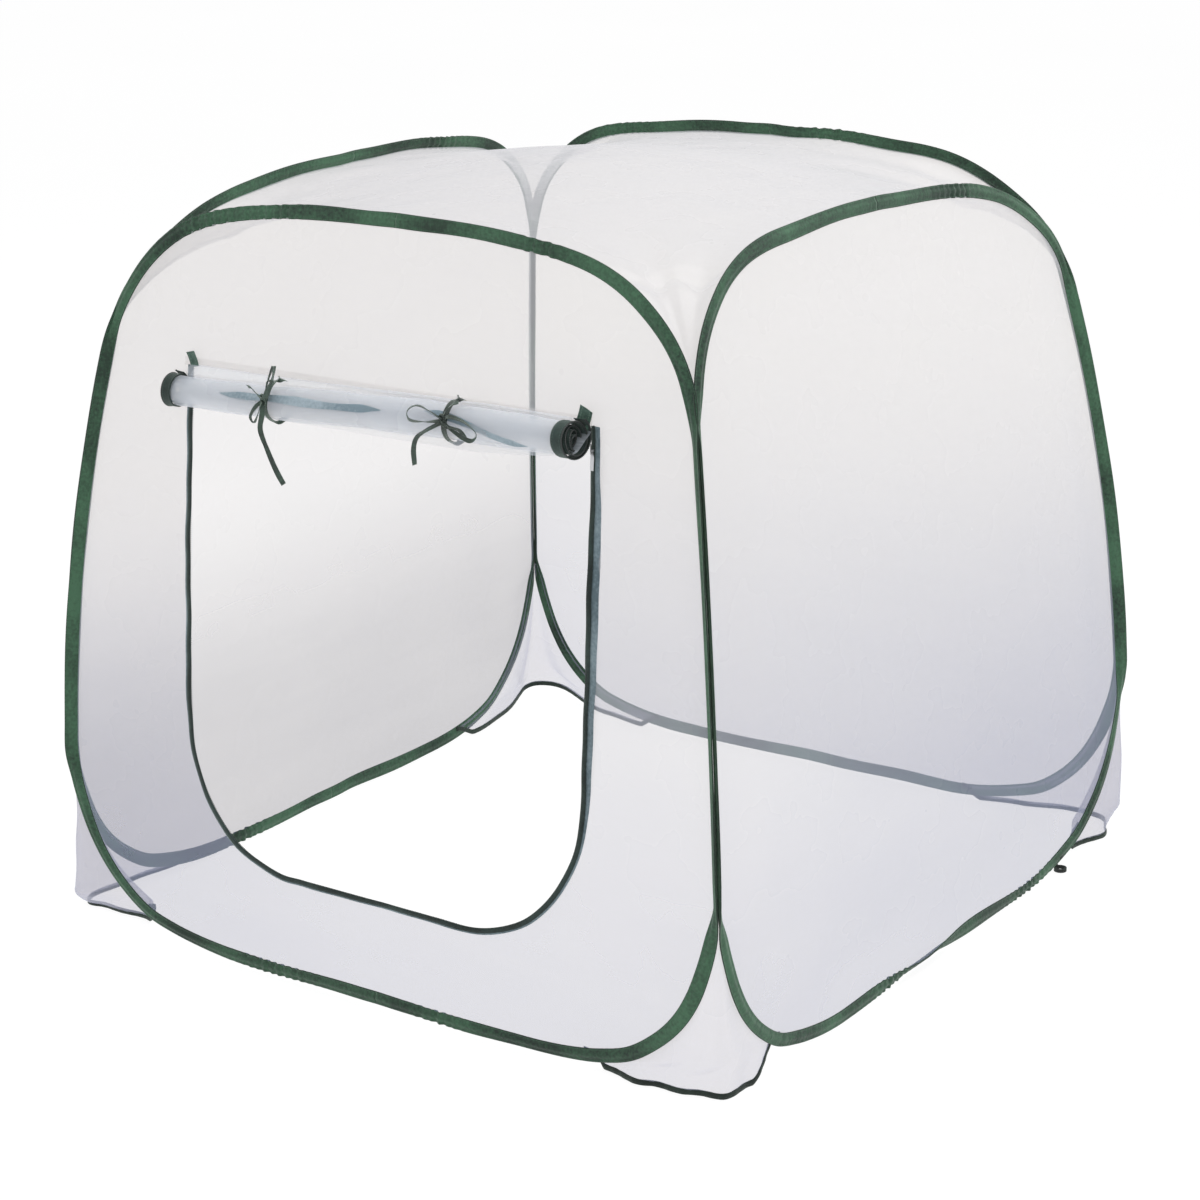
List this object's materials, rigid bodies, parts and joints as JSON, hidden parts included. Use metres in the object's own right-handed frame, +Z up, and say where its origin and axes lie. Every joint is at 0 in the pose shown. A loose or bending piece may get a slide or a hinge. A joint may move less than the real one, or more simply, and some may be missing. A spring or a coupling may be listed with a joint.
{
  "type": "mini pop up greenhouse",
  "caption": "Free-standing pop-up greenhouse: spring-wire hoops in green sleeves, translucent film walls and roof, corner skirts, and a zipped roll-up door tied open.",
  "frame": {"origin": "on the ground under the middle of the greenhouse", "axes": "+Z up, -Y towards the door, +X to the right of a person facing the door"},
  "size_m": [1.0904, 1.0904, 0.9995],
  "materials": {
    "spring_wire": "drawn spring steel wire",
    "ferrule": "crimped tube",
    "sleeve_fabric": "dark green woven polyester sleeve",
    "clear_film": "thin translucent film",
    "door_film": "thin translucent film",
    "skirt_film": "thin translucent film",
    "hem_binding": "near-black green bias binding",
    "zip_tape": "dark woven zip tape",
    "zip_coil": "nylon coil",
    "slider_metal": "plated die casting",
    "tie_ribbon": "narrow woven ribbon",
    "webbing": "narrow webbing"
  },
  "bodies": {
    "root": {"corner_skirts_front": "skirt_film", "door_film_01": "door_film", "door_header_tape": "zip_tape", "door_zip_coil": "zip_coil", "door_zip_tape": "zip_tape", "hoop_sleeve_front": "sleeve_fabric", "hoop_wire_front": "spring_wire", "roof_film": "clear_film", "skirt_hem_front": "hem_binding", "tie_band_left": "tie_ribbon", "tie_band_right": "tie_ribbon", "tie_bow_left": "tie_ribbon", "tie_bow_right": "tie_ribbon", "wall_film_front": "clear_film", "wire_ferrule_front": "ferrule", "zip_end_tab_left": "sleeve_fabric", "zip_end_tab_right": "sleeve_fabric"},
    "left_wall": {"corner_skirts_left": "skirt_film", "hoop_sleeve_left": "sleeve_fabric", "hoop_wire_left": "spring_wire", "skirt_hem_left": "hem_binding", "wall_film_left": "clear_film", "wire_ferrule_left": "ferrule"},
    "back_wall": {"corner_skirts_back": "skirt_film", "hoop_sleeve_back": "sleeve_fabric", "hoop_wire_back": "spring_wire", "skirt_hem_back": "hem_binding", "wall_film_back": "clear_film", "wire_ferrule_back": "ferrule"},
    "right_wall": {"corner_skirts_right": "skirt_film", "hoop_sleeve_right": "sleeve_fabric", "hoop_wire_right": "spring_wire", "peg_loop_right": "webbing", "skirt_hem_right": "hem_binding", "wall_film_right": "clear_film", "wire_ferrule_right": "ferrule"},
    "door_strip_02": {"door_film_02": "door_film"},
    "door_strip_03": {"door_film_03": "door_film"},
    "door_strip_04": {"door_film_04": "door_film"},
    "door_strip_05": {"door_film_05": "door_film"},
    "door_strip_06": {"door_film_06": "door_film"},
    "door_strip_07": {"door_film_07": "door_film"},
    "door_strip_08": {"door_film_08": "door_film"},
    "door_strip_09": {"door_film_09": "door_film"},
    "door_strip_10": {"door_film_10": "door_film"},
    "door_strip_11": {"door_film_11": "door_film"},
    "door_strip_12": {"door_film_12": "door_film"},
    "door_strip_13": {"door_film_13": "door_film"},
    "pull": {"zip_pull_tab": "slider_metal"},
    "slider": {"zip_slider": "slider_metal"}
  },
  "joints": [
    {"name": "frame_fold", "type": "hinge", "parent": "root", "child": "left_wall", "pos_m": [-0.5377, -0.5377, 0], "axis": [-0.0893, -0.0893, -0.992], "range_deg": [0, 70], "deforming": ["roof_film"]},
    {"name": "right_seam", "type": "hinge", "parent": "root", "child": "right_wall", "pos_m": [0.541, -0.541, 0], "axis": [0.0893, -0.0893, -0.992], "range_deg": [0, 70]},
    {"name": "back_seam", "type": "hinge", "parent": "left_wall", "child": "back_wall", "pos_m": [-0.541, 0.541, 0], "axis": [0.0893, -0.0893, 0.992], "range_deg": [0, 70]},
    {"name": "door_unroll", "type": "slide", "parent": "root", "child": "door_strip_13", "axis": [0, -0.0219, -0.9998], "range_m": [0, 0.60139], "deforming": ["tie_band_left", "tie_band_right", "tie_bow_left", "tie_bow_right"]},
    {"name": "door_unroll_12", "type": "slide", "parent": "root", "child": "door_strip_12", "axis": [0, -0.0219, -0.9998], "range_m": [0, 0.55128]},
    {"name": "door_unroll_11", "type": "slide", "parent": "root", "child": "door_strip_11", "axis": [0, -0.0219, -0.9998], "range_m": [0, 0.50116]},
    {"name": "door_unroll_10", "type": "slide", "parent": "root", "child": "door_strip_10", "axis": [0, -0.0219, -0.9998], "range_m": [0, 0.45105]},
    {"name": "door_unroll_09", "type": "slide", "parent": "root", "child": "door_strip_09", "axis": [0, -0.0219, -0.9998], "range_m": [0, 0.40093]},
    {"name": "door_unroll_08", "type": "slide", "parent": "root", "child": "door_strip_08", "axis": [0, -0.0219, -0.9998], "range_m": [0, 0.35082]},
    {"name": "door_unroll_07", "type": "slide", "parent": "root", "child": "door_strip_07", "axis": [0, -0.0219, -0.9998], "range_m": [0, 0.3007]},
    {"name": "door_unroll_06", "type": "slide", "parent": "root", "child": "door_strip_06", "axis": [0, -0.0219, -0.9998], "range_m": [0, 0.25059]},
    {"name": "door_unroll_05", "type": "slide", "parent": "root", "child": "door_strip_05", "axis": [0, -0.0219, -0.9998], "range_m": [0, 0.20047]},
    {"name": "door_unroll_04", "type": "slide", "parent": "root", "child": "door_strip_04", "axis": [0, -0.0219, -0.9998], "range_m": [0, 0.15036]},
    {"name": "door_unroll_03", "type": "slide", "parent": "root", "child": "door_strip_03", "axis": [0, -0.0219, -0.9998], "range_m": [0, 0.10024]},
    {"name": "door_unroll_02", "type": "slide", "parent": "root", "child": "door_strip_02", "axis": [0, -0.0219, -0.9998], "range_m": [0, 0.05013]},
    {"name": "zip_slide", "type": "slide", "parent": "root", "child": "slider", "axis": [0, -0.0896, -0.996], "range_m": [0, 0.43]},
    {"name": "pull_tab_swing", "type": "hinge", "parent": "slider", "child": "pull", "pos_m": [0.327, -0.47726, 0.76729], "axis": [-1, 0, 0], "range_deg": [0, 165]}
  ],
  "couplings": [
    {"joint": "right_seam", "follows": "frame_fold", "ratio": 0.99},
    {"joint": "back_seam", "follows": "frame_fold", "ratio": 0.99},
    {"joint": "door_unroll_02", "follows": "door_unroll", "ratio": 0.083333},
    {"joint": "door_unroll_03", "follows": "door_unroll", "ratio": 0.16667},
    {"joint": "door_unroll_04", "follows": "door_unroll", "ratio": 0.25},
    {"joint": "door_unroll_05", "follows": "door_unroll", "ratio": 0.33333},
    {"joint": "door_unroll_06", "follows": "door_unroll", "ratio": 0.41667},
    {"joint": "door_unroll_07", "follows": "door_unroll", "ratio": 0.5},
    {"joint": "door_unroll_08", "follows": "door_unroll", "ratio": 0.58333},
    {"joint": "door_unroll_09", "follows": "door_unroll", "ratio": 0.66667},
    {"joint": "door_unroll_10", "follows": "door_unroll", "ratio": 0.75},
    {"joint": "door_unroll_11", "follows": "door_unroll", "ratio": 0.83333},
    {"joint": "door_unroll_12", "follows": "door_unroll", "ratio": 0.91667}
  ]
}
